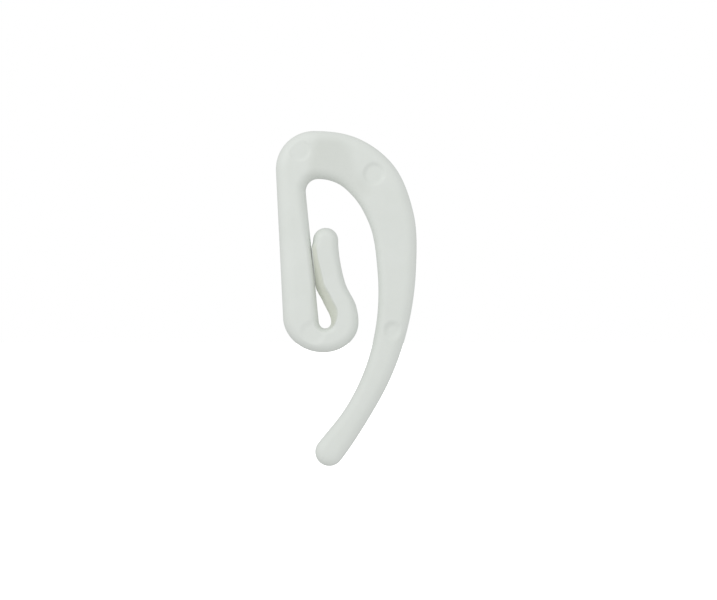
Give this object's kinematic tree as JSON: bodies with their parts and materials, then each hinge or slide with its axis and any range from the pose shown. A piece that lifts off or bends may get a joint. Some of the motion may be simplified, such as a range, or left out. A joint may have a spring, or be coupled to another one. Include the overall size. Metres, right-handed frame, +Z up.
{
  "type": "curtain hook",
  "caption": "Flat moulded hook with a long curved tail, a small eye at the foot of its shank and a springy tongue that closes the eye.",
  "frame": {"origin": "the seat inside the crown: its highest point, halfway through the thickness", "axes": "+Z up from the seat to the crown's top, with the shank and the tail hanging down; +X from the shank towards the tail; +Y through the thickness, away from the face with the ejector marks"},
  "size_m": [0.0141, 0.003, 0.0335],
  "materials": {
    "white_plastic": "satin natural white moulded plastic"
  },
  "bodies": {
    "hook": {"hook_body": "white_plastic", "spring_bend": "white_plastic"},
    "tongue": {"clip_tongue": "white_plastic"}
  },
  "joints": [
    {"name": "tongue_flex", "type": "hinge", "parent": "hook", "child": "tongue", "pos_m": [0.00045, 0, -0.01614], "axis": [0, 1, 0], "range_deg": [0, 8], "stiffness_Nm_per_rad": 0.8, "deforming": ["spring_bend"]}
  ]
}
